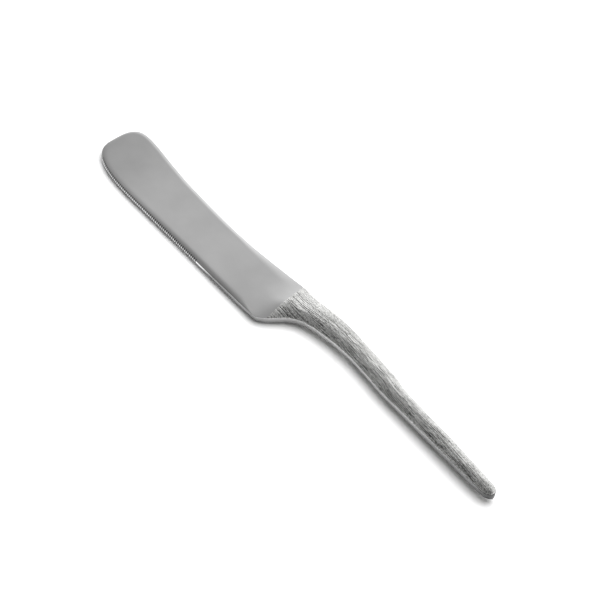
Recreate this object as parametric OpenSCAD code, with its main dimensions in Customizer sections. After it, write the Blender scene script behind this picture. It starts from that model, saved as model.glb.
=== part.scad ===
// Butter knife: a flat blade with a finely toothed edge, and a full tang between two handle scales.
// It lies on its side. +X runs from tip to butt, +Y from cutting edge to spine, and +Z is up.

/* [Overall] */
// Length from the tip of the blade to the butt of the handle
overall_length = 203; // [180:1:230]
// Length from the tip of the blade to its heel
blade_length = 92; // [80:1:105]
// Width of the blade across its squarish end
blade_width = 21; // [18:0.5:25]
// Width that the outline of the handle is drawn to
handle_width = 9; // [7.5:0.25:11]
// Thickness of the heel and of the tang
plate_thickness = 2.4; // [2:0.1:3]
// Thickness of the blade at its tip
tip_thickness = 1.2; // [1.1:0.1:1.7]

/* [Blade end] */
// Length of the long curve from the tip to the straight edge
edge_curve_length = 28; // [20:1:36]
// Length of the short curve from the tip to the spine
spine_curve_length = 8; // [5:0.5:12]
// Squareness of both curves, where 2 is an ellipse
tip_fullness = 3; // [2:0.1:4]

/* [Cutting edge] */
// Width of the bevel along the edge, land included
bevel_width = 2.6; // [2:0.1:3.4]
// Width of the steeper land at the very edge
land_width = 0.25; // [0.2:0.05:0.5]
// Thickness of the blade where the land meets the bevel
land_thickness = 0.95; // [0.75:0.05:1]
// Thickness of the blunt edge
edge_thickness = 0.6; // [0.4:0.05:0.7]
// Length over which the bevel runs out at the heel
heel_runout = 9; // [5:0.5:14]
// Length over which the bevel runs out at the tip
tip_runout = 4; // [3:0.5:7]
// Distance from the tip to the first tooth
teeth_start = 5; // [4:0.5:10]
// Length of edge that the teeth take up
teeth_length = 57; // [30:1:70]
// Distance from tooth to tooth
tooth_pitch = 0.9; // [0.8:0.05:1.4]
// Radius of the grinding wheel that leaves each tooth gap
tooth_radius = 0.5; // [0.4:0.05:0.7]
// Depth of each tooth gap at the edge
tooth_depth = 0.14; // [0.08:0.02:0.2]
// Angle of each tooth gap to the flat of the blade
tooth_tilt = 32; // [26:1:36]

/* [Handle] */
// Length of the hollow curve from the heel up to the handle
choil_length = 15; // [11:0.5:19]
// Length of the rounded butt
butt_length = 4.2; // [2.5:0.1:6]
// Length of the smooth ramp from the flat of the blade up to the scales
ramp_length = 10; // [7:0.5:14]
// Lean of the front of the scales, from the spine back to the heel
front_lean = 4; // [2:0.2:5]
// Length over which the lean dies out along the handle
lean_length = 30; // [20:1:40]
// Height of each scale at its rim, in the front half of the handle
rim_height = 0.3; // [0.2:0.05:0.5]
// Height of the ridge over the rim where the scale is thickest
ridge_height = 1.5; // [1.1:0.1:2.2]
// Roundness of the slope from the ridge to the lower side, where 1 is flat
lower_roundness = 1.2; // [1:0.1:2.4]
// Roundness of the slope from the ridge to the spine side, where 1 is flat
upper_roundness = 2.4; // [1:0.1:3]
// Gap between the front of a scale and the ramp
front_gap = 0.05; // [0.02:0.01:0.1]

/* [Dowels] */
// Diameter of the hidden dowels
dowel_diameter = 2; // [1.6:0.1:2.2]
// Depth of the dowel holes in each scale
dowel_seat = 0.8; // [0.5:0.05:0.9]
// Clearance between a dowel and the wall of its hole
dowel_clearance = 0.03; // [0.01:0.01:0.06]
// Clearance between the end of a dowel and the floor of its hole
dowel_end_gap = 0.05; // [0.02:0.01:0.1]
// Chamfer on both ends of a dowel
dowel_chamfer = 0.2; // [0.1:0.05:0.3]

/* [Hidden] */
steel = "#b4b6b8";
worked_steel = "#8f9193";
dowel_steel = "#c8cacc";

// Steps along and across the curved faces
tip_steps = 20;
spine_steps = 24;
heel_steps = 8;
neck_steps = 16;
handle_steps = 36;
butt_steps = 8;
ramp_steps = 8;
bevel_steps = 12;
half_roof_steps = 5;
round_faces = 48;

// How far every cut reaches past the face that it starts from
overrun = 1;
// Half the length over which the slope of the edge is taken
slope_reach = 0.02;

// Place of the foremost point of the tip across the blade, and of the hindmost point of the butt
tip_peak_share = 0.585;
butt_peak_share = 0.52;
butt_fullness = 2;
// Spine of the blade: shares of blade length and of blade width
spine_shares = [[0.2, 0.957], [0.31, 0.91], [0.45, 0.885], [0.62, 0.876], [0.76, 0.905], [0.88, 0.957]];
heel_spine_share = 0.993;
// Hollow behind the heel: shares of its own length and height
choil_shares = [
  [-0.1, 0], [0.04, 0.03], [0.14, 0.12], [0.25, 0.26], [0.37, 0.48], [0.5, 0.7], [0.62, 0.82], [0.76, 0.91]
];
choil_top_share = -0.967;
// Stretch behind the heel with closer stations, as a share of the length of the hollow
neck_share = 1.2;
// Both sides of the handle: shares of handle length from the heel, and of handle width from the spine
upper_side_shares = [
  [0, 0], [0.06, 0], [0.11, 0.083], [0.2, 0.18], [0.3, 0.133], [0.4, 0.061], [0.46, 0.011],
  [0.5, -0.085], [0.6, -0.15], [0.75, -0.19], [0.83, -0.245], [0.92, -0.294]
];
upper_end_share = -0.33;
lower_side_shares = [
  [0.2, -0.817], [0.3, -0.728], [0.4, -0.783], [0.47, -0.85], [0.6, -0.867], [0.75, -0.883], [0.92, -0.9]
];
lower_end_share = -0.88;
// Ridge of a scale: shares of handle length, and of the way across from the lower side
ridge_place_shares = [
  [0, 0.56], [0.05, 0.42], [0.1, 0.32], [0.16, 0.29], [0.23, 0.36], [0.36, 0.38], [0.44, 0.44], [0.52, 0.52],
  [0.6, 0.53], [0.7, 0.56], [0.8, 0.46], [0.9, 0.42], [1, 0.45]
];
// Height of the ridge: shares of handle length and of the full height
ridge_height_shares = [
  [0, 0.6], [0.06, 0.8], [0.14, 0.95], [0.3, 1], [0.45, 1], [0.52, 0.92], [0.75, 0.85], [0.93, 0.72],
  [1, 0.35]
];
// Rims: shares of handle length and of the rim's height, taller on the lower side and low round the butt
upper_rim_shares = [[0, 1], [0.94, 1], [1, 0.4]];
lower_rim_shares = [[0, 1], [0.48, 1], [0.6, 2], [0.75, 2.7], [0.9, 2.4], [1, 0.4]];
// Dowels: shares of handle length
front_dowel_share = 0.17;
middle_dowel_share = 0.5;
rear_dowel_share = 0.84;

handle_length = overall_length - blade_length;
spine_line = heel_spine_share * blade_width;
tip_peak = tip_peak_share * blade_width;
butt_start = overall_length - butt_length;
choil_height = spine_line + choil_top_share * handle_width;
half_plate = plate_thickness / 2;
half_land = land_thickness / 2;
half_edge = edge_thickness / 2;

// Smooth curve through points in order of x, level at both ends
function point_slope(p, i) =
  i == 0 || i == len(p) - 1 ? 0 : (p[i + 1].y - p[i - 1].y) / (p[i + 1].x - p[i - 1].x);
function span_of(p, x, i = 0) = i == len(p) - 2 || x < p[i + 1].x ? i : span_of(p, x, i + 1);
function curve(p, x) =
  let (
    i = span_of(p, x),
    run = p[i + 1].x - p[i].x,
    t = (x - p[i].x) / run,
    start = p[i].y + t * run * point_slope(p, i) * (1 - t),
    end = p[i + 1].y - (1 - t) * run * point_slope(p, i + 1) * t,
    ease = t * t * (3 - 2 * t)
  )
  start * (1 - ease) + end * ease;

// How far a rounded end has opened at a share of its length
function opening(share, fullness) = pow(1 - pow(1 - min(share, 1), fullness), 1 / fullness);

// Shares along the handle turned into places
function along(shares) = [for (s = shares) [blade_length + s.x * handle_length, s.y]];
function along_side(shares) = [for (s = along(shares)) [s.x, spine_line + s.y * handle_width]];

upper_side = concat(
  [[spine_curve_length, blade_width]],
  [for (s = spine_shares) [s.x * blade_length, s.y * blade_width]],
  along_side(upper_side_shares),
  [[butt_start, spine_line + upper_end_share * handle_width]]
);
lower_side = concat(
  [[edge_curve_length, 0]],
  [for (s = choil_shares) [blade_length + s.x * choil_length, s.y * choil_height]],
  [[blade_length + choil_length, choil_height]],
  along_side(lower_side_shares),
  [[butt_start, spine_line + lower_end_share * handle_width]]
);
upper_end = upper_side[len(upper_side) - 1].y;
lower_end = lower_side[len(lower_side) - 1].y;
butt_peak = lower_end + butt_peak_share * (upper_end - lower_end);

// Both sides of the whole knife at x
function butt_opening(x) = opening((overall_length - x) / butt_length, butt_fullness);
function upper_y(x) =
  x < spine_curve_length ? tip_peak + (blade_width - tip_peak) * opening(x / spine_curve_length, tip_fullness)
  : x <= butt_start ? curve(upper_side, x)
  : butt_peak + (upper_end - butt_peak) * butt_opening(x);
function edge_y(x) =
  x < edge_curve_length ? tip_peak * (1 - opening(x / edge_curve_length, tip_fullness)) : 0;
function lower_y(x) =
  x < edge_curve_length ? edge_y(x)
  : x <= butt_start ? curve(lower_side, x)
  : butt_peak - (butt_peak - lower_end) * butt_opening(x);

// Stations along the upper side of the scales, and the leaning ones that they meet on the lower side
neck_end = blade_length + neck_share * choil_length;
stations = concat(
  [for (i = [0:neck_steps - 1]) blade_length + (neck_end - blade_length) * i / neck_steps],
  [for (i = [0:handle_steps]) neck_end + (butt_start - neck_end) * i / handle_steps],
  [for (i = [1:butt_steps - 1]) overall_length - butt_length * pow(1 - i / butt_steps, butt_fullness)]
);
function leaning(x) = x + front_lean * max(0, 1 - (x - blade_length) / lean_length);
front_low = leaning(blade_length);
heel_start = lower_side[1].x;

outline = concat(
  [for (i = [0:tip_steps]) let (x = edge_curve_length * pow(i / tip_steps, tip_fullness)) [x, edge_y(x)]],
  [
    for (i = [0:heel_steps - 1])
      let (x = heel_start + (front_low - heel_start) * i / heel_steps) [x, lower_y(x)]
  ],
  [for (x = stations) [leaning(x), lower_y(leaning(x))]],
  [[overall_length, butt_peak]],
  [for (i = [len(stations) - 1:-1:0]) [stations[i], upper_y(stations[i])]],
  [
    for (i = [spine_steps - 1:-1:1])
      let (x = spine_curve_length + (blade_length - spine_curve_length) * i / spine_steps) [x, upper_y(x)]
  ],
  [for (i = [tip_steps:-1:1]) let (x = spine_curve_length * pow(i / tip_steps, tip_fullness)) [x, upper_y(x)]]
);

// Faces of the blade: half its thickness at x
function half_blade(x) = (tip_thickness + (plate_thickness - tip_thickness) * min(x / blade_length, 1)) / 2;

// Height of a scale over the tang at x, a share v of the way across from the lower side
ridge_place = along(ridge_place_shares);
ridge_rise = along(ridge_height_shares);
upper_rim = along(upper_rim_shares);
lower_rim = along(lower_rim_shares);
function roof_columns(ridge) = concat(
  [for (j = [0:half_roof_steps]) ridge * j / half_roof_steps],
  [for (j = [1:half_roof_steps]) ridge + (1 - ridge) * j / half_roof_steps]
);
function scale_height(x, v) =
  let (
    ridge = curve(ridge_place, x),
    fall = abs(v - ridge) / (v < ridge ? ridge : 1 - ridge),
    rim = rim_height * curve(v < ridge ? lower_rim : upper_rim, x),
    peak = rim_height + ridge_height * curve(ridge_rise, x)
  )
  rim + (peak - rim) * (1 - pow(fall, v < ridge ? lower_roundness : upper_roundness));
scale_rows = [
  for (x = stations)
    let (low = [leaning(x), lower_y(leaning(x))], high = [x, upper_y(x)])
    [
      for (v = roof_columns(curve(ridge_place, x)))
        [each low + (high - low) * v, half_plate + scale_height(x, v)]
    ]
];
scale_top = max([for (row = scale_rows) for (p = row) p.z]);

// Places of the whole knife in its own frame
middle_y = (min([for (p = outline) p.y]) + max([for (p = outline) p.y])) / 2;
module lay() {
  translate([-overall_length / 2, -middle_y, scale_top])
    children();
}

// Solid under rows of points, down to a flat floor, with straight rows in plan
module mound(rows, floor_z) {
  n = len(rows);
  m = len(rows[0]);
  low = n * m;
  points = concat([for (row = rows) each row], [for (row = rows) for (p = row) [p.x, p.y, floor_z]]);
  top = [
    for (i = [0:n - 2]) for (j = [0:m - 2])
      let (a = i * m + j) each [[a, a + 1, a + m + 1], [a, a + m + 1, a + m]]
  ];
  bottom = [for (f = top) [low + f[2], low + f[1], low + f[0]]];
  near = [for (i = [0:n - 2]) let (a = i * m) each [[a, a + m, low + a + m], [a, low + a + m, low + a]]];
  far = [
    for (i = [0:n - 2])
      let (a = i * m + m - 1) each [[a, low + a, low + a + m], [a, low + a + m, a + m]]
  ];
  front = [for (j = [0:m - 2]) each [[j, low + j, low + j + 1], [j, low + j + 1, j + 1]]];
  back = [for (f = front) [for (k = [2:-1:0]) f[k] + (n - 1) * m]];
  polyhedron(points, concat(top, bottom, near, far, front, back));
}

// Solid through rings of points
module sweep(rings) {
  n = len(rings);
  m = len(rings[0]);
  sides = [
    for (i = [0:n - 2]) for (j = [0:m - 1])
      let (a = i * m + j, b = i * m + (j + 1) % m) each [[a, b + m, b], [a, a + m, b + m]]
  ];
  start = [for (j = [0:m - 1]) j];
  end = [for (j = [m - 1:-1:0]) (n - 1) * m + j];
  polyhedron([for (ring = rings) each ring], concat(sides, [start, end]));
}

// Inward direction, square to the cutting edge at x
function inward(x) =
  let (slope = (edge_y(x + slope_reach) - edge_y(x - slope_reach)) / (2 * slope_reach))
  [-slope, 1] / norm([slope, 1]);

// Plate of blade and tang before its edge is ground, thinner towards the tip
module tapered_plate() {
  half_tip = half_blade(-overrun);
  profile = [
    [-overrun, -half_tip], [blade_length, -half_plate], [overall_length + overrun, -half_plate],
    [overall_length + overrun, half_plate], [blade_length, half_plate], [-overrun, half_tip]
  ];
  translate([0, -overrun, 0])
    rotate([90, 0, 0])
      mirror([0, 0, 1])
        linear_extrude(height = middle_y * 2 + overrun * 2)
          polygon(profile);
}

// Smooth ramp that lifts the flat of the blade to the front of a scale
module ramp() {
  columns = roof_columns(curve(ridge_place, blade_length));
  inner_columns = [for (j = [1:len(columns) - 2]) columns[j]];
  rows = [
    for (i = [0:ramp_steps])
      let (
        q = i / ramp_steps,
        x = blade_length - ramp_length + (ramp_length - front_gap) * q,
        low = [x + front_lean * q, lower_y(x + front_lean * q)],
        high = [x, upper_y(x)],
        side = (high - low) / norm(high - low) * overrun,
        sunk = (half_plate - half_blade(x)) * (1 - q)
      )
      concat(
        [[each low - side, half_blade(x) - sunk + rim_height * q * q]],
        [
          for (v = inner_columns)
            [each low + (high - low) * v, half_blade(x) - sunk + scale_height(blade_length, v) * q * q]
        ],
        [[each high + side, half_blade(x) - sunk + rim_height * q * q]]
      )
  ];
  mound(rows, 0);
}

// Cut that grinds the land and the bevel into the upper face, moved outwards where it runs out
module bevel_cut() {
  cut_top = scale_top + overrun;
  reach = bevel_width + overrun;
  far_d = bevel_width + overrun * 2;
  tip_x = teeth_start - tip_runout;
  rings = [
    for (x = concat(
      [for (i = [0:bevel_steps]) tip_x + (edge_curve_length - tip_x) * pow(i / bevel_steps, 2)],
      [for (i = [0:bevel_steps / 2]) blade_length - heel_runout * (1 - 2 * i / bevel_steps)]
    ))
      let (
        near_tip = max(0, 1 - (x - tip_x) / tip_runout),
        near_heel = max(0, 1 - (blade_length - x) / heel_runout),
        base = [x, edge_y(x)] - inward(x) * reach * (pow(near_tip, 2) + pow(near_heel, 2)),
        slope = (half_blade(x) - half_land) / (bevel_width - land_width),
        far_z = half_land + slope * (far_d - land_width)
      )
      [
        for (p = [
          [-overrun, half_edge], [0, half_edge], [land_width, half_land], [far_d, far_z], [far_d, cut_top],
          [-overrun, cut_top]
        ])
          [each base + inward(x) * p.x, p.y]
      ]
  ];
  sweep(rings);
}

// Tooth gaps, a pitch apart along the curve of the edge
function tooth_x(k) = k == 0 ? teeth_start : let (x = tooth_x(k - 1)) x + tooth_pitch * inward(x).y;
module tooth_gaps() {
  gap_length = land_width + overrun;
  for (k = [0:floor(teeth_length / tooth_pitch) - 1]) {
    x = tooth_x(k);
    n = inward(x);
    translate([x, edge_y(x), half_edge])
      rotate([0, 0, atan2(n.y, n.x)])
        rotate([0, 90 - tooth_tilt, 0])
          translate([-(tooth_radius - tooth_depth), 0, -land_width])
            cylinder(r = tooth_radius, h = gap_length + land_width, $fn = round_faces);
  }
}

// Places of the dowels, in the middle of the tang
function dowel_place(share) =
  let (x = blade_length + share * handle_length) [x, (lower_y(x) + upper_y(x)) / 2];
module dowel_holes(height) {
  for (share = [front_dowel_share, middle_dowel_share, rear_dowel_share])
    translate(dowel_place(share))
      cylinder(d = dowel_diameter + dowel_clearance * 2, h = height, center = true, $fn = round_faces);
}

module blade() {
  color(steel)
    lay()
      difference() {
        intersection() {
          linear_extrude(height = scale_top * 2, center = true)
            polygon(outline);
          union() {
            tapered_plate();
            ramp();
            mirror([0, 0, 1])
              ramp();
          }
        }
        bevel_cut();
        mirror([0, 0, 1])
          bevel_cut();
        tooth_gaps();
        dowel_holes(plate_thickness + overrun * 2);
      }
}

module scale_half() {
  difference() {
    mound(scale_rows, half_plate);
    dowel_holes(plate_thickness + dowel_seat * 2);
  }
}

module upper_scale() {
  color(worked_steel)
    lay()
      scale_half();
}

module lower_scale() {
  color(worked_steel)
    lay()
      mirror([0, 0, 1])
        scale_half();
}

module dowel(share) {
  radius = dowel_diameter / 2;
  half_length = half_plate + dowel_seat - dowel_end_gap;
  color(dowel_steel)
    lay()
      translate(dowel_place(share))
        rotate_extrude($fn = round_faces)
          polygon([
            [0, -half_length], [radius - dowel_chamfer, -half_length], [radius, -half_length + dowel_chamfer],
            [radius, half_length - dowel_chamfer], [radius - dowel_chamfer, half_length], [0, half_length]
          ]);
}

module front_dowel() {
  dowel(front_dowel_share);
}

module middle_dowel() {
  dowel(middle_dowel_share);
}

module rear_dowel() {
  dowel(rear_dowel_share);
}

blade();
upper_scale();
lower_scale();
front_dowel();
middle_dowel();
rear_dowel();
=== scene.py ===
import math

import bpy
import numpy as np
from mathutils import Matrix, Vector


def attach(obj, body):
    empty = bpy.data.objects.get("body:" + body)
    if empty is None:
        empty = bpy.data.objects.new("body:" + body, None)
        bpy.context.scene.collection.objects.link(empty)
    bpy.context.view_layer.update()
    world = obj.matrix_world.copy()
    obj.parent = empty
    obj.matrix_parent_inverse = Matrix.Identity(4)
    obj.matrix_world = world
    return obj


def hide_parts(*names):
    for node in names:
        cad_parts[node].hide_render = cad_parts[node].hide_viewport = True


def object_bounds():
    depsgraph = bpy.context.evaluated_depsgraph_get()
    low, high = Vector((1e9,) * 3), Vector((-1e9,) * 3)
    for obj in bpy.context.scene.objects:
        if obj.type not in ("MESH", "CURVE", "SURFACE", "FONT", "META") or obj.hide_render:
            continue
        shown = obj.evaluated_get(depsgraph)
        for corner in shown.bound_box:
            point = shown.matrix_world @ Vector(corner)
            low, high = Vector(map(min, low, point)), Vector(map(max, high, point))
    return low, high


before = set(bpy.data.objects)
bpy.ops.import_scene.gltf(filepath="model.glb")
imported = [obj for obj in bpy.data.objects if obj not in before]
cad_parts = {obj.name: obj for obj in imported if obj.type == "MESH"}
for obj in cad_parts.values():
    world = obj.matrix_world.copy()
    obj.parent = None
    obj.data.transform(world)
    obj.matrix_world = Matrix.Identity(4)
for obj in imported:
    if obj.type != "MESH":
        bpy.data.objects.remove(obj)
cad_low, cad_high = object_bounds()
bpy.ops.object.select_all(action="DESELECT")

# Blade and tang
# One plate of stainless steel, blanked to its outline, ground thinner towards the tip and satin polished.
# Its edge has a rounded bevel and a narrow toothed land, and behind the heel it runs on as the tang.
# Places here are in millimetres from the tip, from the line of the cutting edge and from the middle plane.
MM = 0.001
overall_length = (cad_high.x - cad_low.x) / MM
frame_origin = np.array([cad_low.x, cad_low.y, (cad_low.z + cad_high.z) / 2]) / MM
blade_length = 92
blade_width = 21
handle_width = 9
half_plate = 1.2
half_tip = 0.6
edge_curve_length = 28
spine_curve_length = 8
tip_fullness = 3
choil_length = 15
butt_length = 4.2
butt_fullness = 2
ramp_length = 10
front_lean = 4
lean_length = 30
front_gap = 0.005
rim_height = 0.3
ridge_height = 1.5
lower_roundness = 1.2
half_edge = 0.2
land_width = 0.12
bevel_width = 2.6
bevel_rise = 0.5
bevel_fullness = 2.4
heel_runout = 9
tip_runout = 9
tip_blunt = 1
tip_round = 1.2
side_round = 0.35
lip_size = 0.16
crown_drop = 0.25
crown_width = 1.4
heel_crown_width = 3.4
under_round = 0.6
teeth_start = 5
teeth_length = 57
tooth_pitch = 0.9
tooth_half_width = 0.3
tooth_depth = 1.5
tooth_tilt = math.radians(68)
dowel_diameter = 2
dowel_clearance = 0.03
dowel_shares = [0.17, 0.5, 0.84]
bore_overrun = 1

# Shares of the outline, as the plate is blanked: of length and width along the spine, of the hollow behind
# the heel, and of handle length and width along both sides of the handle
tip_peak_share = 0.585
butt_peak_share = 0.52
heel_spine_share = 0.993
spine_shares = [(0.2, 0.957), (0.31, 0.91), (0.45, 0.885), (0.62, 0.876), (0.76, 0.905), (0.88, 0.957)]
choil_shares = [
    (-0.1, 0), (0.04, 0.02), (0.14, 0.09), (0.25, 0.22), (0.37, 0.43), (0.5, 0.65), (0.62, 0.79), (0.76, 0.9),
    (1, 1),
]
choil_top_share = -0.967
upper_side_shares = [
    (0, 0), (0.06, 0), (0.11, 0.083), (0.2, 0.18), (0.3, 0.133), (0.4, 0.061), (0.46, 0.011), (0.5, -0.085),
    (0.6, -0.15), (0.75, -0.19), (0.83, -0.245), (0.92, -0.294),
]
upper_end_share = -0.33
lower_side_shares = [
    (0.2, -0.817), (0.3, -0.728), (0.4, -0.783), (0.47, -0.85), (0.6, -0.867), (0.75, -0.883), (0.92, -0.9),
]
lower_end_share = -0.88

# Shares of the bevel's rise along the blade, and along the handle of the ridge's place and height, of the
# roundness of its upper slope and of how much painted shade the sides get
bevel_rise_shares = [(0.08, 0.4), (0.4, 0.6), (0.65, 1), (0.8, 0.8), (1, 0.5)]
ridge_place_shares = [
    (0, 0.46), (0.05, 0.33), (0.1, 0.27), (0.16, 0.26), (0.23, 0.33), (0.36, 0.34), (0.44, 0.42), (0.52, 0.5),
    (0.6, 0.53), (0.7, 0.56), (0.8, 0.46), (0.9, 0.42), (1, 0.45),
]
ridge_height_shares = [
    (-0.02, 0.3), (0, 0.6), (0.02, 0.8), (0.05, 0.9), (0.14, 0.96), (0.3, 1), (0.45, 1), (0.52, 0.92),
    (0.75, 0.85), (0.93, 0.72), (1, 0.35),
]
upper_round_shares = [(0, 1.15), (0.1, 1.4), (0.22, 2), (0.3, 2.4), (1, 2.4)]
side_shade_shares = [
    (-0.3, 0.7), (-0.1, 0.6), (0.02, 0.4), (0.1, 0.32), (0.2, 0.12), (0.4, 0.2), (0.6, 0.32), (0.8, 0.5),
    (0.93, 0.55), (1, 0.85),
]

# How finely the plate is meshed along its length, round its sides and across its face
arc_samples = 4001
rows_per_tooth = 8
tip_spacing = 0.25
blade_spacing = 0.8
ramp_spacing = 0.35
neck_spacing = 0.5
neck_share = 1.2
tang_spacing = 1
butt_rows = 15
profile_steps = 15
land_steps = 6
face_steps = 12
face_split_shares = (0.75, 0.8)
bore_sides = 48
weld_distance = 0.004
blade_crease_angle = 35

handle_length = overall_length - blade_length
spine_line = heel_spine_share * blade_width
tip_peak = tip_peak_share * blade_width
butt_start = overall_length - butt_length
choil_height = spine_line + choil_top_share * handle_width
ramp_start = blade_length - ramp_length
ramp_end = blade_length - front_gap
neck_end = blade_length + neck_share * choil_length


def curve(points, x):
    """Smooth curve through points in order of x, level at both ends."""
    px, py = np.array(points, float).T
    slope = np.zeros(len(px))
    slope[1:-1] = (py[2:] - py[:-2]) / (px[2:] - px[:-2])
    i = np.clip(np.searchsorted(px, x, "right") - 1, 0, len(px) - 2)
    run = px[i + 1] - px[i]
    t = (x - px[i]) / run
    start = py[i] + t * run * slope[i] * (1 - t)
    end = py[i + 1] - (1 - t) * run * slope[i + 1] * t
    ease = t * t * (3 - 2 * t)
    return start * (1 - ease) + end * ease


def smooth(share):
    """Eases from 0 to 1 as a share goes from 0 to 1."""
    t = np.clip(share, 0, 1)
    return t * t * (3 - 2 * t)


def opening(share, fullness):
    """How far a rounded end has opened at a share of its length."""
    return (1 - (1 - np.clip(share, 0, 1)) ** fullness) ** (1 / fullness)


def along(shares):
    """Shares of the handle's length turned into places from the tip."""
    return [(blade_length + s * handle_length, value) for s, value in shares]


def along_side(shares):
    """Shares of the handle's length and width turned into points of its outline."""
    return [(x, spine_line + value * handle_width) for x, value in along(shares)]


upper_end = spine_line + upper_end_share * handle_width
lower_end = spine_line + lower_end_share * handle_width
butt_peak = lower_end + butt_peak_share * (upper_end - lower_end)
upper_side = [
    (spine_curve_length, blade_width),
    *[(s * blade_length, value * blade_width) for s, value in spine_shares],
    *along_side(upper_side_shares),
    (butt_start, upper_end),
]
lower_side = [
    (edge_curve_length, 0),
    *[(blade_length + s * choil_length, value * choil_height) for s, value in choil_shares],
    *along_side(lower_side_shares),
    (butt_start, lower_end),
]


def spine_y(x):
    """Spine side of the outline."""
    tip = tip_peak + (blade_width - tip_peak) * opening(x / spine_curve_length, tip_fullness)
    butt = butt_peak + (upper_end - butt_peak) * opening((overall_length - x) / butt_length, butt_fullness)
    return np.where(x < spine_curve_length, tip, np.where(x <= butt_start, curve(upper_side, x), butt))


def edge_y(x):
    """Cutting edge and the lower side of the handle."""
    tip = tip_peak * (1 - opening(x / edge_curve_length, tip_fullness))
    butt = butt_peak - (butt_peak - lower_end) * opening((overall_length - x) / butt_length, butt_fullness)
    return np.where(x < edge_curve_length, tip, np.where(x <= butt_start, curve(lower_side, x), butt))


def lean(x):
    """How far the front line of the scales leans back on the lower side, dying out along ramp and handle."""
    return np.interp(x, [ramp_start, blade_length, blade_length + lean_length], [0, front_lean, 0])


def inward(places, start, end):
    """Directions square to a side of the outline, into the plate, with those at its ends set."""
    run = np.gradient(places, axis=0)
    across = np.stack([-run[:, 1], run[:, 0]], 1)
    across /= np.linalg.norm(across, axis=1, keepdims=True)
    if start:
        across[0] = start
    across[-1] = end
    return across


def steps(start, end, spacing):
    """Places from start up to, but without, end, about a spacing apart."""
    return np.linspace(start, end, max(1, math.ceil((end - start) / spacing)), endpoint=False)


def roof(x, v, ridge, lower_rim, upper_rim):
    """Height of the worked face between two rims, a share v of the way across from the lower side."""
    lower = v < ridge
    fall = np.clip(np.abs(v - ridge) / np.where(lower, ridge, 1 - ridge), 0, 1)
    rim = np.where(lower, lower_rim, upper_rim)
    peak = rim_height + ridge_height * curve(along(ridge_height_shares), x)
    roundness = np.where(lower, lower_roundness, curve(along(upper_round_shares), x))
    return rim + (np.maximum(peak, rim) - rim) * (1 - fall ** roundness)


def undercut(z):
    """How far the side of the handle is rounded in under its lip, at a height over the middle plane."""
    lip = half_plate + rim_height
    return under_round * (np.clip(lip - z, 0, None) / (2 * lip)) ** 2


def side_painted_shade(x):
    """How much painted shade the sides of the plate and the scales get, from 0 to 1."""
    points = along(side_shade_shares)
    return curve(points, np.clip(x, points[0][0], points[-1][0]))


def side_places(line, into, reach, height):
    """Rows of points up a side: at distances from its outline, square into the plate, and at heights."""
    return np.dstack([line[:, None] + into[:, None] * reach[:, :, None], height])


def lay_sheet(name, places, **painted_layers):
    """A grid of steel laid on a form, rows by columns, with its painted light at each point, from 0 to 1."""
    rows, columns, _ = places.shape
    bpy.ops.object.select_all(action="DESELECT")
    bpy.ops.mesh.primitive_grid_add(x_subdivisions=columns - 1, y_subdivisions=rows - 1, size=1)
    piece = bpy.context.object
    piece.name = piece.data.name = name
    piece.data.vertices.foreach_set("co", ((places + frame_origin) * MM).astype(np.float32).ravel())
    for layer_name, values in painted_layers.items():
        layer = piece.data.attributes.new(layer_name, "FLOAT", "POINT")
        layer.data.foreach_set("value", values.astype(np.float32).ravel())
    piece.data.update()
    return piece


def weld(piece, fill=False):
    """Joins the points that lie on each other, fills an open foot if asked, and turns all faces outwards."""
    bpy.ops.object.mode_set(mode="EDIT")
    bpy.ops.mesh.select_all(action="SELECT")
    bpy.ops.mesh.remove_doubles(threshold=weld_distance * MM)
    if fill:
        bpy.ops.mesh.select_all(action="DESELECT")
        bpy.ops.mesh.select_non_manifold()
        bpy.ops.mesh.edge_face_add()
        bpy.ops.mesh.select_all(action="SELECT")
    bpy.ops.mesh.normals_make_consistent(inside=False)
    bpy.ops.object.mode_set(mode="OBJECT")


def bore(piece, depth):
    """Drills the three dowel holes, to a depth on both sides of the middle plane."""
    for share in dowel_shares:
        x = blade_length + share * handle_length
        middle = np.array([x, (edge_y(x) + spine_y(x)) / 2, 0])
        bpy.ops.object.select_all(action="DESELECT")
        bpy.ops.mesh.primitive_cylinder_add(
            vertices=bore_sides,
            radius=(dowel_diameter / 2 + dowel_clearance) * MM,
            depth=2 * depth * MM,
            location=(middle + frame_origin) * MM,
        )
        drill = bpy.context.object
        cut = piece.modifiers.new("bore", "BOOLEAN")
        cut.operation = "DIFFERENCE"
        cut.object = drill
        bpy.context.view_layer.objects.active = piece
        bpy.ops.object.modifier_apply(modifier=cut.name)
        bpy.data.objects.remove(drill)


def smooth_faces(piece, angle):
    """Smooth faces, with creases kept where they turn by more than an angle."""
    bpy.ops.object.select_all(action="DESELECT")
    piece.select_set(True)
    bpy.context.view_layer.objects.active = piece
    bpy.ops.object.shade_smooth_by_angle(angle=math.radians(angle))


# Stations along the plate, close together where the teeth are, with a double one at the step down to the
# tang, and the distance of each along the edge
tip_run = edge_curve_length * np.linspace(0, 1, arc_samples) ** tip_fullness
tip_arc = np.concatenate([[0], np.cumsum(np.hypot(np.diff(tip_run), np.diff(edge_y(tip_run))))])
first_tooth = np.interp(teeth_start, tip_run, tip_arc)
tooth_count = math.floor(teeth_length / tooth_pitch)
teeth_end = edge_curve_length + first_tooth + tooth_count * tooth_pitch - tip_arc[-1]
tooth_step = tooth_pitch / rows_per_tooth
tip_stations = np.concatenate([
    steps(0, first_tooth - tooth_pitch, tip_spacing),
    steps(first_tooth - tooth_pitch, tip_arc[-1], tooth_step),
])
before_step = np.concatenate([
    np.interp(tip_stations, tip_arc, tip_run),
    steps(edge_curve_length, teeth_end, tooth_step),
    steps(teeth_end, ramp_start, blade_spacing),
    steps(ramp_start, ramp_end, ramp_spacing),
    [ramp_end],
])
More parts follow.
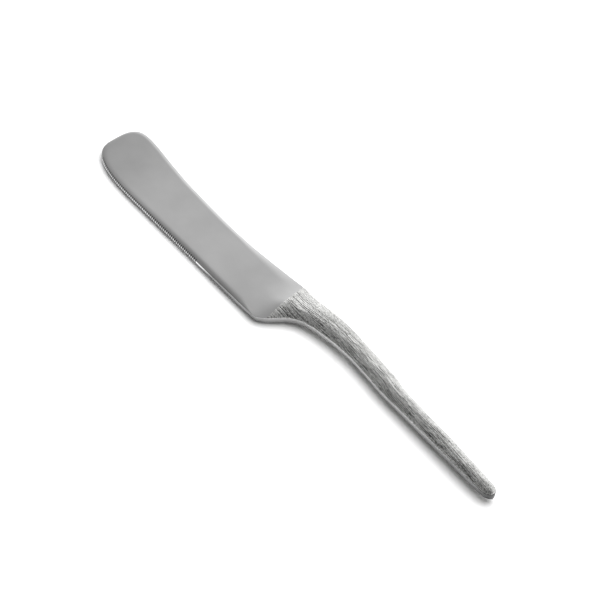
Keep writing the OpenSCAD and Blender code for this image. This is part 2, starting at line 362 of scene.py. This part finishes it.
after_step = np.concatenate([
    [ramp_end],
    steps(blade_length, neck_end, neck_spacing)[1:],
    steps(neck_end, butt_start, tang_spacing),
    overall_length - butt_length * np.linspace(1, 0, butt_rows) ** butt_fullness,
])
stations = np.concatenate([before_step, after_step])
under_scale = np.arange(len(stations)) >= len(before_step)
arc = np.where(
    stations < edge_curve_length,
    np.interp(stations, tip_run, tip_arc),
    tip_arc[-1] + stations - edge_curve_length,
)

# Both sides of the plate in plan, and the share of the rounded side, which the edge takes on at tip and heel
low_x = stations + lean(stations)
low_line = np.stack([low_x, edge_y(low_x)], 1)
high_line = np.stack([stations, spine_y(stations)], 1)
low_inward = inward(low_line, (1, 0), (-1, 0))
high_inward = -inward(high_line, (-1, 0), (1, 0))
past_heel = smooth((low_x - blade_length + heel_runout) / heel_runout)
past_ramp = smooth((stations - ramp_start) / ramp_length)
rounded = np.maximum(1 - smooth((arc - tip_blunt) / (tip_runout - tip_blunt)), past_heel)
rim_round = side_round + (tip_round - side_round) * (1 - smooth(arc / tip_runout))
rim_round += (lip_size - side_round) * past_ramp
half_blade = half_tip + (half_plate - half_tip) * np.minimum(stations / blade_length, 1)
bevel_rises = [(s * blade_length, value * bevel_rise) for s, value in bevel_rise_shares]
half_land = half_blade - curve(bevel_rises, np.clip(stations, bevel_rises[0][0], blade_length))
half_land = np.maximum(half_land, half_edge)
climb = np.clip((stations - ramp_start) / (ramp_end - ramp_start), 0, 1) ** 2


def top(v):
    """Height of the plate's upper face at each station, a share v of the way across."""
    ramp = climb[:, None] * roof(blade_length, v, ridge_place_shares[0][1], rim_height, rim_height)
    return np.where(under_scale[:, None], half_plate, half_blade[:, None] + ramp)


def crown(off_spine):
    """How far the blade's face is rounded down at distances from its spine, in a row for each station."""
    width = np.interp(stations, [teeth_end, ramp_start], [crown_width, heel_crown_width])
    drop = crown_drop * (1 - past_ramp)
    return drop[:, None] * np.clip(1 - off_spine / width[:, None], 0, 1) ** 2


def side_profile(end_height):
    """Wall with a rounded lip, from the middle plane up to the face: distance inwards and height."""
    turn = np.linspace(0, math.pi / 2, profile_steps - 1)
    lip_height = np.minimum(rim_round, end_height)[:, None]
    reach = np.pad(rim_round[:, None] * (1 - np.cos(turn)), ((0, 0), (1, 0)))
    height = np.pad(end_height[:, None] - lip_height * (1 - np.sin(turn)), ((0, 0), (1, 0)))
    seated = under_scale[:, None]
    return np.where(seated, 0, reach), np.where(seated, half_plate * np.linspace(0, 1, profile_steps), height)


def edge_profile(end_height):
    """Blunt edge, land and rounded bevel, from the middle plane up: distance inwards and height."""
    land = np.linspace(0, 1, land_steps)
    bevel = np.linspace(0, 1, profile_steps - land_steps)[1:]
    reach = np.concatenate([[0], land * land_width, land_width + bevel * (bevel_width - land_width)])
    land_height = half_edge + land * (half_land[:, None] - half_edge)
    bevel_share = 1 - (1 - bevel) ** bevel_fullness
    bevel_height = half_land[:, None] + (end_height - half_land)[:, None] * bevel_share
    height = np.concatenate([np.zeros((len(end_height), 1)), land_height, bevel_height], 1)
    return np.broadcast_to(reach, height.shape), height


wall_reach, wall_height = side_profile(top(np.zeros(1))[:, 0])
edge_reach, edge_height = edge_profile(half_blade)
share = rounded[:, None]
low_reach = share * wall_reach + (1 - share) * edge_reach
low_height = share * wall_height + (1 - share) * edge_height
high_reach, high_height = side_profile(top(np.ones(1))[:, 0] - crown(rim_round[:, None])[:, 0])

# Tooth gaps: once a pitch, a round wheel tilted to the blade is drawn down through its edge
phase = np.mod(arc - first_tooth + tooth_pitch / 2, tooth_pitch) - tooth_pitch / 2
from_row_start = arc - first_tooth + tooth_pitch / 2
in_row = (from_row_start > 0) & (from_row_start < tooth_count * tooth_pitch)
gap = np.sqrt(np.clip(1 - (phase / tooth_half_width) ** 2, 0, 1)) * in_row
gap_foot = (half_land - gap * tooth_depth)[:, None]
in_gap = (gap > 0)[:, None]


def toothed(side):
    """Lower side of a half of the plate with its tooth gaps: distance inwards, and where it is cut."""
    cut = np.where(in_gap, (side * low_height - gap_foot) / math.tan(tooth_tilt), 0)
    return np.maximum(low_reach, cut), cut > low_reach


# The edge and land along the teeth get a painted highlight between the gaps; the gaps and other sides get
# painted shade
past_teeth = smooth((low_x - teeth_end) / heel_runout)
beside_teeth = 1 - smooth((arc - first_tooth + tooth_pitch) / tooth_pitch) + past_teeth
profile_places = np.arange(profile_steps)
below_lip = np.where(under_scale[:, None], 1, 1 - smooth(profile_places / land_steps))
below_land = 1 - smooth((profile_places - land_steps * past_teeth[:, None] / 2) / land_steps)
low_painted_shade = (side_painted_shade(low_x) * beside_teeth)[:, None] * np.maximum(below_lip, below_land)
high_painted_shade = side_painted_shade(stations)[:, None] * below_lip
low_painted_highlight = np.clip(1 - beside_teeth, 0, 1)[:, None] * below_lip

face_start, face_end = face_split_shares
face = np.concatenate([np.linspace(0, face_start, face_steps), np.linspace(face_end, 1, face_steps)])[1:-1]


def half_sheet(side):
    """Upper or lower half of the plate as rows of points: lower side, face and spine side."""
    low_in = toothed(side)[0] + past_heel[:, None] * undercut(side * low_height)
    high_in = high_reach + past_ramp[:, None] * undercut(side * high_height)
    low = side_places(low_line, low_inward, low_in, low_height)
    high = side_places(high_line, high_inward, high_in, high_height)
    start, end = low[:, -1:], high[:, -1:]
    flat = start + (end - start) * face[:, None]
    ends_meet = np.linalg.norm(end - start, axis=2) < weld_distance
    off_spine = np.linalg.norm(flat[:, :, :2] - high_line[:, None], axis=2)
    flat[:, :, 2] = np.where(ends_meet, flat[:, :, 2], top(face) - crown(off_spine))
    return np.concatenate([low, flat, high[:, ::-1]], 1) * [1, 1, side]


def half_painted_light(side):
    """How much painted shade and painted highlight a half sheet gets."""
    cut = toothed(side)[1]
    plain = np.zeros((len(stations), len(face)))
    dull = [np.where(cut, np.sqrt(gap)[:, None], low_painted_shade), plain, high_painted_shade[:, ::-1]]
    bright = [np.where(cut, 0, low_painted_highlight), plain, np.zeros_like(high_painted_shade)]
    return np.dstack([np.concatenate(dull, 1), np.concatenate(bright, 1)])


blade_places = np.concatenate([half_sheet(1), half_sheet(-1)[:, ::-1][:, 1:]], 1)
blade_painted_light = np.concatenate([half_painted_light(1), half_painted_light(-1)[:, ::-1][:, 1:]], 1)
blade = lay_sheet("blade_forging", blade_places, dull=blade_painted_light[:, :, 0], bright=blade_painted_light[:, :, 1])
weld(blade)
bore(blade, half_plate + bore_overrun)
smooth_faces(blade, blade_crease_angle)


def linear(hex_colour):
    """sRGB hex colour as linear values with alpha."""
    values = [int(hex_colour[i:i + 2], 16) / 255 for i in (1, 3, 5)]
    return [*[c / 12.92 if c <= 0.04045 else ((c + 0.055) / 1.055) ** 2.4 for c in values], 1]


def pattern_scale(*sizes):
    """Scale of a pattern along each axis, from the sizes of its grains in millimetres."""
    return [1 / (size * MM) for size in sizes]


def add(tree, kind, settings=None, *ordered, **named):
    """One shader node with its settings; an input is a value, or a node and the name of its output."""
    made = tree.nodes.new(kind)
    for name, value in (settings or {}).items():
        setattr(made, name, value)
    inputs = list(zip(made.inputs, ordered))
    inputs += [(made.inputs[name.replace("_", " ")], value) for name, value in named.items()]
    for socket, value in inputs:
        if isinstance(value, tuple) and isinstance(value[0], bpy.types.Node):
            tree.links.new(value[0].outputs[value[1]], socket)
        else:
            socket.default_value = value
    return made


def new_material(name):
    """Material with an empty node tree."""
    material = bpy.data.materials.new(name)
    material.use_nodes = True
    material.node_tree.nodes.clear()
    return material


# Satin stainless steel: ground and then polished by hand along the blade, which leaves it grey and softly
# mirroring and cloudy from the hand; towards the tip it gets a little painted shade. Its hairlines are drawn
# wider than real ones, so that they show. The sides and the tooth gaps get painted shade, and the edge and
# land along the teeth a painted highlight.
hairline_length = 12
hairline_width = 0.35
cloud_size = 16
cloud_share = 0.8
tip_shade_start = -102
tip_shade_end = -70
satin = new_material("satin_stainless_steel")
tree = satin.node_tree
place = add(tree, "ShaderNodeTexCoord")
hairline_place = add(
    tree, "ShaderNodeMapping",
    Vector=(place, "Object"), Scale=pattern_scale(hairline_length, hairline_width, hairline_width),
)
hairlines = add(
    tree, "ShaderNodeTexNoise",
    Vector=(hairline_place, "Vector"), Scale=1, Detail=4, Roughness=0.6,
)
polish = add(tree, "ShaderNodeMapRange", Value=(hairlines, "Fac"), To_Min=0.27, To_Max=0.31)
clouds = add(
    tree, "ShaderNodeTexNoise",
    Vector=(place, "Object"), Scale=1 / (cloud_size * MM), Detail=3, Roughness=0.5,
)
along_blade = add(tree, "ShaderNodeSeparateXYZ", Vector=(place, "Object"))
from_tip = add(
    tree, "ShaderNodeMapRange", Value=(along_blade, "X"),
    From_Min=tip_shade_start * MM, From_Max=tip_shade_end * MM, To_Min=-0.2, To_Max=0.4,
)
tone = add(
    tree, "ShaderNodeMath", {"operation": "MULTIPLY_ADD"},
    (clouds, "Fac"), cloud_share, (from_tip, "Result"),
)
tint = add(
    tree, "ShaderNodeMix", {"data_type": "RGBA"},
    Factor=(tone, "Value"), A=linear("#aeaeae"), B=linear("#d8d8d8"),
)
# Painted highlight: the edge and land along the teeth are mixed towards near white
bright = add(tree, "ShaderNodeAttribute", {"attribute_name": "bright"})
highlighted_tint = add(
    tree, "ShaderNodeMix", {"data_type": "RGBA"},
    Factor=(bright, "Fac"), A=(tint, "Result"), B=linear("#f6f6f6"),
)
# Painted shade: the sides and the tooth gaps are mixed towards dark grey
dull = add(tree, "ShaderNodeAttribute", {"attribute_name": "dull"})
shade = add(
    tree, "ShaderNodeMix", {"data_type": "RGBA"},
    Factor=(dull, "Fac"), A=(highlighted_tint, "Result"), B=linear("#303030"),
)
steel = add(
    tree, "ShaderNodeBsdfPrincipled",
    Metallic=1, Base_Color=(shade, "Result"), Roughness=(polish, "Result"),
)
add(tree, "ShaderNodeOutputMaterial", Surface=(steel, "BSDF"))
blade.data.materials.append(satin)
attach(blade, "root")
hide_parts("blade")

# Handle scales
# Two slips of stainless steel on the faces of the tang, each with a ridge that wanders along it like a twig.
# Their faces are chased by hand with long strokes, like bark, and their rims are dressed flush with the tang.
dowel_seat = 0.8
upper_rim_shares = [(0, 1), (0.94, 1), (1, 0.4)]
lower_rim_shares = [(0, 1), (0.48, 1), (0.6, 2), (0.75, 2.7), (0.9, 2.4), (1, 0.4)]
ridge_wander_share = 0.02
ridge_wander_length = 6

# Strokes of the grain: long and fine ones from the front line on, short ones further back
line_pitch = 0.72
line_length = 12
line_half_width = 0.16
line_depth = 0.14
fine_pitch = 0.48
fine_length = 8
fine_half_width = 0.14
fine_depth = 0.1
short_pitch = 0.5
short_length = 3
short_half_width = 0.16
short_depth = 0.11
stroke_wander_share = 0.2
stroke_wander_length = 18
stroke_wander_spread = 2.2
stroke_force = 0.6
stroke_force_swing = 1.1
stroke_force_spread = 0.6
stroke_flatness = 1.4
wave_count = 24

# Where the strokes begin and how they change from the front to the back: their shares of their depth, and how
# much calmer the grain is near the spine, within a width; at the rims they fade out
ragged_start = 0.1
ragged_reach = 0.9
ragged_spread = 0.4
stroke_runin = 0.3
front_length = 6
front_fade = 16
line_shares = (1, 0.55)
fine_shares = (1, 0.75)
short_shares = (0, 1)
calm_shares = (0.9, 0.6)
calm_widths = (8, 3.8)
rim_fade = 0.25

# Unevenness between the strokes, and a shallow hollow above the lower rim
mottle_depth = 0.015
mottle_length = 0.9
mottle_spread = 0.35
hollow_depth = 0.045
hollow_place = 1
hollow_half_width = 1.5
hollow_shares = [
    (0, 0), (0.15, 0.2), (0.3, 0.35), (0.45, 0.5), (0.6, 0.7), (0.7, 0.9), (0.8, 0.6), (0.9, 0.3), (1, 0),
]

# Painted shade: a stroke of this depth is painted fully dark, and the face gets painted shade towards its
# sides
dark_depth = 0.17
dark_contrast = 1.7
spine_shade_share = 0.12
spine_shade_width = 4
spine_shade_fade = 30
lower_shade_share = 0.14
lower_shade_width = 2.8
lip_shade_share = 0.8

# How finely the scales are meshed
wall_steps = 4
lip_steps = 5
column_count = 200
front_row_spacing = 0.1
row_spacing = 0.5
scale_butt_rows = 26
scale_crease_angle = 60

scale_stations = np.concatenate([
    steps(blade_length, neck_end, front_row_spacing),
    steps(neck_end, butt_start, row_spacing),
    overall_length - butt_length * np.linspace(1, 0, scale_butt_rows) ** butt_fullness,
])
scale_low_x = scale_stations + lean(scale_stations)
scale_low = np.stack([scale_low_x, edge_y(scale_low_x)], 1)
scale_high = np.stack([scale_stations, spine_y(scale_stations)], 1)
scale_low_inward = inward(scale_low, None, (-1, 0))
scale_high_inward = -inward(scale_high, None, (1, 0))
lower_rim = rim_height * curve(along(lower_rim_shares), scale_stations)
upper_rim = rim_height * curve(along(upper_rim_shares), scale_stations)
scale_face = np.linspace(0, 1, column_count + 2)[1:-1]


def rim_profile(rim, side):
    """Wall of a scale from the tang up, flush with it, and its rounded lip: distance inwards and height."""
    lip = np.minimum(lip_size, rim)[:, None]
    wall = half_plate + (rim[:, None] - lip) * np.linspace(0, 1, wall_steps)
    turn = np.linspace(0, math.pi / 2, lip_steps + 1)[1:]
    height = np.concatenate([wall, wall[:, -1:] + lip * np.sin(turn)], 1)
    reach = np.concatenate([np.zeros_like(wall), lip * (1 - np.cos(turn))], 1)
    return reach + undercut(side * height), height


def waves(x, w, length, spread, rng):
    """Smooth random relief, mostly -1 to 1, of a typical length along the handle and spread across it."""
    total = np.zeros_like(x)
    for _ in range(wave_count):
        turn = rng.uniform(0, 2 * math.pi)
        total += np.sin(x * rng.normal(0, 2 / length) + w * rng.normal(0, 2 / spread) + turn)
    return total / math.sqrt(wave_count / 2)


def chased_lines(x, w, pitch, length, half_width, rng):
    """Rows of strokes that wander, come and go: 1 in the bottom of a stroke, 0 between the strokes."""
    wander = stroke_wander_share * waves(x, w, stroke_wander_length, stroke_wander_spread, rng)
    place = w / pitch + wander
    off = np.abs(place - np.round(place)) * pitch
    force = stroke_force + stroke_force_swing * waves(x, w, length, stroke_force_spread, rng)
    return np.clip(stroke_flatness * (1 - off / half_width), 0, 1) * np.clip(force, 0, 1)


def to_back(x, values):
    """A value that changes from that of the scale's front to that of its back."""
    front, back = values
    return front + (back - front) * smooth((x - blade_length - front_length) / front_fade)


def grain_depth(x, w, front, rng):
    """Depth of the chased grain at a place along the handle and a distance from its spine side."""
    start = front + ragged_start + ragged_reach * np.abs(waves(np.zeros_like(w), w, 1, ragged_spread, rng))
    begun = np.clip((x - start) / stroke_runin, 0, 1)
    worked = 1 - to_back(x, calm_shares) * (1 - smooth(w / to_back(x, calm_widths)))
    lines = chased_lines(x, w, line_pitch, line_length, line_half_width, rng)
    lines *= line_depth * to_back(x, line_shares) * worked
    fine = chased_lines(x, w, fine_pitch, fine_length, fine_half_width, rng)
    fine *= fine_depth * to_back(x, fine_shares) * worked
    short = chased_lines(x, w, short_pitch, short_length, short_half_width, rng)
    short *= short_depth * to_back(x, short_shares) * worked
    mottle = mottle_depth * (1 + waves(x, w, mottle_length, mottle_spread, rng))
    return begun * (np.maximum(np.maximum(lines, fine), short) + np.maximum(mottle, 0))


def face_painted_shade(x, grain, off_spine, off_lower):
    """How much painted shade the chased face gets, from 0 to 1: in its strokes and hollow and towards its
    sides.
    """
    strokes = (grain / dark_depth) ** dark_contrast
    past_front = smooth((x - blade_length - front_length) / spine_shade_fade)
    by_spine = spine_shade_share * past_front * (1 - smooth(off_spine / spine_shade_width))
    by_rim = lower_shade_share * (1 - smooth(off_lower / lower_shade_width))
    return np.clip(strokes + by_spine + by_rim, 0, 1)


def make_scale(name, side, seed):
    """One scale, over the tang for side 1 and under it for side -1."""
    rng = np.random.default_rng(seed)
    low = side_places(scale_low, scale_low_inward, *rim_profile(lower_rim, side))
    high = side_places(scale_high, scale_high_inward, *rim_profile(upper_rim, side))
    start, end = low[:, -1:], high[:, -1:]
    worked = start + (end - start) * scale_face[:, None]
    x = worked[:, :, 0]
    off_spine = np.linalg.norm(worked[:, :, :2] - scale_high[:, None], axis=2)
    off_lower = np.linalg.norm(worked[:, :, :2] - scale_low[:, None], axis=2)
    wander = ridge_wander_share * waves(x, np.zeros_like(x), ridge_wander_length, 1, rng)
    wander *= smooth((x - blade_length) / lean_length)
    ridge = curve(along(ridge_place_shares), scale_stations)[:, None] + wander
    height = roof(scale_stations[:, None], scale_face, ridge, lower_rim[:, None], upper_rim[:, None])
    hollow = smooth(1 - np.abs(off_lower - hollow_place) / hollow_half_width)
    hollow *= hollow_depth * curve(along(hollow_shares), scale_stations)[:, None]
    off_rims = np.minimum(scale_face, 1 - scale_face) * np.linalg.norm(end - start, axis=2)
    grain = (grain_depth(x, off_spine, x[:1], rng) + hollow) * np.clip(off_rims / rim_fade, 0, 1)
    worked[:, :, 2] = half_plate + height - grain
    rows = np.concatenate([low, worked, high[:, ::-1]], 1)
    foot = rows[:1].copy()
    foot[:, :, 2] = half_plate
    places = np.concatenate([foot, rows]) * [1, 1, side]

    # Painted shade on the rims, less on their lips, and on the worked face
    up_rim = np.concatenate([np.ones(wall_steps), np.linspace(1, lip_shade_share, lip_steps)])
    dull = np.concatenate([
        side_painted_shade(scale_low_x)[:, None] * up_rim,
        face_painted_shade(x, grain, off_spine, off_lower),
        side_painted_shade(scale_stations)[:, None] * up_rim[::-1],
    ], 1)
    piece = lay_sheet(name, places, dull=np.concatenate([dull[:1], dull]))
    weld(piece, fill=True)
    bore(piece, half_plate + dowel_seat)
    smooth_faces(piece, scale_crease_angle)
    return piece


# Chased stainless steel: the strokes get painted shade in their bottoms, the deeper the darker, and the face
# gets painted shade towards its spine side and lower rim. The whole face is rougher than the blade, with
# specks from the punch between the strokes, which are drawn coarser than real ones, so that they show.
speck_length = 0.65
speck_width = 0.42
speck_height = 0.14
chased = new_material("chased_stainless_steel")
tree = chased.node_tree
place = add(tree, "ShaderNodeTexCoord")
speck_place = add(
    tree, "ShaderNodeMapping",
    Vector=(place, "Object"), Scale=pattern_scale(speck_length, speck_width, speck_width),
)
specks = add(tree, "ShaderNodeTexNoise", Vector=(speck_place, "Vector"), Scale=1, Detail=3, Roughness=0.6)
polish = add(tree, "ShaderNodeMapRange", Value=(specks, "Fac"), To_Min=0.22, To_Max=0.54)
relief = add(tree, "ShaderNodeBump", Strength=1, Distance=speck_height * MM, Height=(specks, "Fac"))
# Painted shade from the attribute, added to the darkening of the punch specks
dull = add(tree, "ShaderNodeAttribute", {"attribute_name": "dull"})
dark_specks = add(
    tree, "ShaderNodeMapRange",
    Value=(specks, "Fac"), From_Min=0.57, From_Max=0.43, To_Min=0, To_Max=0.34,
)
dark = add(tree, "ShaderNodeMath", {"operation": "ADD"}, (dull, "Fac"), (dark_specks, "Result"))
tint = add(
    tree, "ShaderNodeMix", {"data_type": "RGBA"},
    Factor=(dark, "Value"), A=linear("#fbfbf9"), B=linear("#282828"),
)
steel = add(
    tree, "ShaderNodeBsdfPrincipled",
    Metallic=1, Base_Color=(tint, "Result"), Roughness=(polish, "Result"), Normal=(relief, "Normal"),
)
add(tree, "ShaderNodeOutputMaterial", Surface=(steel, "BSDF"))

# Each scale with its solid, its side of the tang and the seed of its grain
scales = []
scale_list = [("upper_handle_scale", "upper_scale", 1, 11), ("lower_handle_scale", "lower_scale", -1, 29)]
for name, node, side, seed in scale_list:
    scale = make_scale(name, side, seed)
    scale.data.materials.append(chased)
    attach(scale, "root")
    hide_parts(node)
    scales.append(scale)

# Dowels
# Three ground pins of stainless steel through the tang, hidden in blind holes of both scales.
# Their solids are right as they are, and get the fine rings that centreless grinding leaves.
ring_width = 2
ring_spacing = 0.08
ring_height = 0.01
ground = new_material("ground_stainless_steel")
tree = ground.node_tree
place = add(tree, "ShaderNodeTexCoord")
ring_place = add(
    tree, "ShaderNodeMapping",
    Vector=(place, "Object"), Scale=pattern_scale(ring_width, ring_width, ring_spacing),
)
rings = add(tree, "ShaderNodeTexNoise", Vector=(ring_place, "Vector"), Scale=1, Detail=3, Roughness=0.6)
polish = add(tree, "ShaderNodeMapRange", Value=(rings, "Fac"), To_Min=0.12, To_Max=0.44)
tone = add(tree, "ShaderNodeMapRange", Value=(rings, "Fac"), From_Min=0.3, From_Max=0.7)
tint = add(
    tree, "ShaderNodeMix", {"data_type": "RGBA"},
    Factor=(tone, "Result"), A=linear("#c4c6c8"), B=linear("#d2d3d5"),
)
relief = add(tree, "ShaderNodeBump", Strength=0.1, Distance=ring_height * MM, Height=(rings, "Fac"))
steel = add(
    tree, "ShaderNodeBsdfPrincipled",
    Metallic=1, Base_Color=(tint, "Result"), Roughness=(polish, "Result"), Normal=(relief, "Normal"),
)
add(tree, "ShaderNodeOutputMaterial", Surface=(steel, "BSDF"))
for node in ("front_dowel", "middle_dowel", "rear_dowel"):
    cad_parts[node].material_slots[0].material = ground

# Floor, light and camera
# A white table under one broad soft light overhead, in a grey room that is bright at the back on the right.
# The knife lies tilted onto its cutting edge, so the table is laid against it with a slight roll and pitch.
# The camera looks down on the blade's upper face from beside the butt, through a long lens.
floor_size = 6
table_roll = math.radians(4.6)
table_pitch = math.radians(0.1)
table_up = Vector((math.tan(table_pitch), math.tan(table_roll), 1)).normalized()
lowest = min(table_up.dot(vertex.co) for piece in (blade, *scales) for vertex in piece.data.vertices)
bpy.ops.object.select_all(action="DESELECT")
bpy.ops.mesh.primitive_plane_add(
    size=floor_size, location=lowest * table_up, rotation=table_up.to_track_quat("Z", "Y").to_euler()
)
floor = bpy.context.object
floor.name = "floor"
white = new_material("white_table")
tree = white.node_tree
paint = add(
    tree, "ShaderNodeBsdfPrincipled",
    Base_Color=linear("#f7f7f7"), Roughness=1, Specular_IOR_Level=0,
)
add(tree, "ShaderNodeOutputMaterial", Surface=(paint, "BSDF"))
floor.data.materials.append(white)

view_turn = math.radians(53.3)
view_height = math.radians(47)
view_right = Vector((math.cos(view_turn), math.sin(view_turn), 0))
view_back = Vector((-math.sin(view_turn), math.cos(view_turn), 0))
frame_width = 197 * MM
look_at = Vector((-8.82 * MM, 7.76 * MM, 0))


def from_view(right, back, up):
    """A direction or place by how far it is to the right, to the back and up, as the camera sees it."""
    return right * view_right + back * view_back + Vector((0, 0, up))


world = bpy.data.worlds.new("studio")
bpy.context.scene.world = world
world.use_nodes = True
tree = world.node_tree
tree.nodes.clear()
bright_side = from_view(0.35, 0.9, 0.25).normalized()
glow_falloff = 3.4
glow_strength = 1.3
towards = add(tree, "ShaderNodeTexCoord")
facing = add(tree, "ShaderNodeVectorMath", {"operation": "DOT_PRODUCT"}, (towards, "Generated"), bright_side)
share_lit = add(tree, "ShaderNodeMapRange", Value=(facing, "Value"), From_Min=0.3, From_Max=1)
glow = add(tree, "ShaderNodeMath", {"operation": "POWER"}, (share_lit, "Result"), glow_falloff)
height = add(tree, "ShaderNodeSeparateXYZ", Vector=(towards, "Generated"))
walls = add(
    tree, "ShaderNodeMapRange", {"interpolation_type": "SMOOTHSTEP"},
    Value=(height, "Z"), From_Min=0.62, From_Max=0.34, To_Min=0.25, To_Max=0.32,
)
level = add(
    tree, "ShaderNodeMath", {"operation": "MULTIPLY_ADD"},
    (glow, "Value"), glow_strength, (walls, "Result"),
)
room = add(tree, "ShaderNodeBackground", Color=(1, 1, 1, 1), Strength=(level, "Value"))
add(tree, "ShaderNodeOutputWorld", Surface=(room, "Background"))

lamp_data = bpy.data.lights.new("overhead_softbox", "AREA")
lamp_data.shape = "DISK"
lamp_data.size = 2.4
lamp_data.energy = 46
lamp = bpy.data.objects.new("overhead_softbox", lamp_data)
bpy.context.scene.collection.objects.link(lamp)
lamp.location = from_view(0.5, 0.4, 1.5)
lamp.rotation_euler = (look_at - lamp.location).to_track_quat("-Z", "Y").to_euler()
lamp.visible_glossy = False

camera_data = bpy.data.cameras.new("camera")
camera_data.sensor_width = 36
camera_data.lens = 1400
distance = frame_width * camera_data.lens / camera_data.sensor_width
towards_camera = from_view(0, -math.cos(view_height), math.sin(view_height))
camera = bpy.data.objects.new("camera", camera_data)
bpy.context.scene.collection.objects.link(camera)
camera.location = look_at + towards_camera * distance
camera.rotation_euler = (-towards_camera).to_track_quat("-Z", "Y").to_euler()
bpy.context.scene.camera = camera
bpy.context.scene.view_settings.view_transform = "Standard"

bpy.context.view_layer.update()
